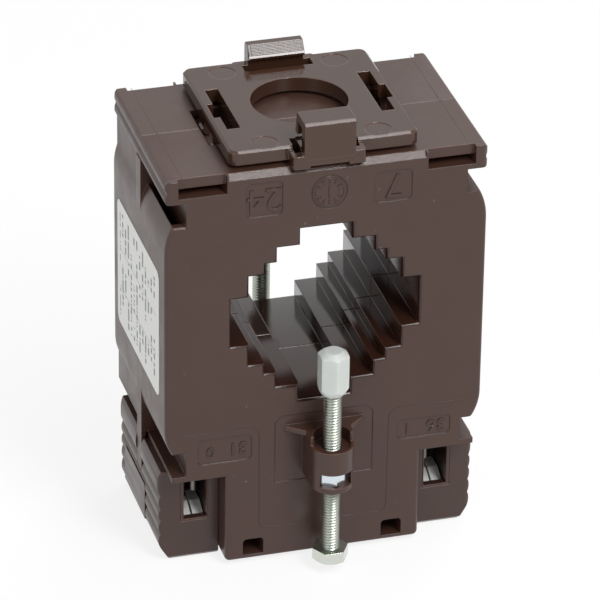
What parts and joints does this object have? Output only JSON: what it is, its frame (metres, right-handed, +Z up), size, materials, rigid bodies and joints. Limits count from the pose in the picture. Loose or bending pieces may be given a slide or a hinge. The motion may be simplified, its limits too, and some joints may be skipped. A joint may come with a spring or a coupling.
{
  "type": "window-type current transformer",
  "caption": "Window-type current transformer: two-part moulded housing with a stepped opening for busbar or cable, bar clamp screws, covered terminals and a clip-on rail adapter.",
  "frame": {"origin": "centre of the base, on the plane of the terminal covers' lowest faces, 1 mm below the housing's underside", "axes": "+Z up through the height, -Y out of the front face towards the viewer's side, +X to the right seen from the front; the primary conductor runs along Y"},
  "size_m": [0.0716, 0.0668, 0.1071],
  "materials": {
    "housing": "dark red-brown moulded plastic, satin gloss",
    "adapter_plastic": "dark red-brown moulded plastic, glossier than the housing",
    "cover_plastic": "dark red-brown moulded plastic, satin gloss",
    "carrier_plastic": "dark brown moulded plastic",
    "label_film": "white printed film",
    "core_steel": "wound strip steel",
    "insulation": "pale insulating shell",
    "winding_enamel": "enamelled copper wire",
    "lead_sleeve": "insulated lead",
    "zinc_steel": "bright zinc-plated steel",
    "tinned_metal": "tinned copper alloy",
    "nylon": "natural milky nylon"
  },
  "bodies": {
    "housing": {"front_shell": "housing", "rear_shell": "housing", "rating_label": "label_film", "rail_adapter": "adapter_plastic", "core": "core_steel", "core_wraps": "insulation", "secondary_winding": "winding_enamel", "nut_front": "zinc_steel", "nut_rear": "zinc_steel", "terminal_carrier_left": "carrier_plastic", "contact_plates_left": "tinned_metal", "terminal_saddles_left": "tinned_metal", "terminal_screws_left": "zinc_steel", "winding_lead_left": "lead_sleeve", "terminal_carrier_right": "carrier_plastic", "contact_plates_right": "tinned_metal", "terminal_saddles_right": "tinned_metal", "terminal_screws_right": "zinc_steel", "winding_lead_right": "lead_sleeve"},
    "front_cap": {"screw_cap_front": "nylon"},
    "front_screw": {"clamp_screw_front": "zinc_steel"},
    "rear_cap": {"screw_cap_rear": "nylon"},
    "rear_screw": {"clamp_screw_rear": "zinc_steel"},
    "left_cover": {"terminal_cover_left": "cover_plastic"},
    "right_cover": {"terminal_cover_right": "cover_plastic"}
  },
  "joints": [
    {"name": "front_cap_slide", "type": "slide", "parent": "housing", "child": "front_cap", "axis": [0, 0, 1], "range_m": [-0.013, 0.0155]},
    {"name": "front_screw_turn", "type": "hinge", "parent": "front_cap", "child": "front_screw", "pos_m": [0, -0.0287, 0], "axis": [0, 0, 1], "range_deg": [-6687.7, 7973.4]},
    {"name": "rear_cap_slide", "type": "slide", "parent": "housing", "child": "rear_cap", "axis": [0, 0, 1], "range_m": [-0.021, 0.0075]},
    {"name": "rear_screw_turn", "type": "hinge", "parent": "rear_cap", "child": "rear_screw", "pos_m": [0, 0.0287, 0], "axis": [0, 0, 1], "range_deg": [-10802, 3859.1]},
    {"name": "left_cover_slide", "type": "slide", "parent": "housing", "child": "left_cover", "axis": [0, 0, -1], "range_m": [0, 0.016]},
    {"name": "right_cover_slide", "type": "slide", "parent": "housing", "child": "right_cover", "axis": [0, 0, -1], "range_m": [0, 0.016]}
  ],
  "couplings": [
    {"joint": "front_screw_turn", "follows": "front_cap_slide", "rad_per_m": 8976},
    {"joint": "rear_screw_turn", "follows": "rear_cap_slide", "rad_per_m": 8976}
  ]
}
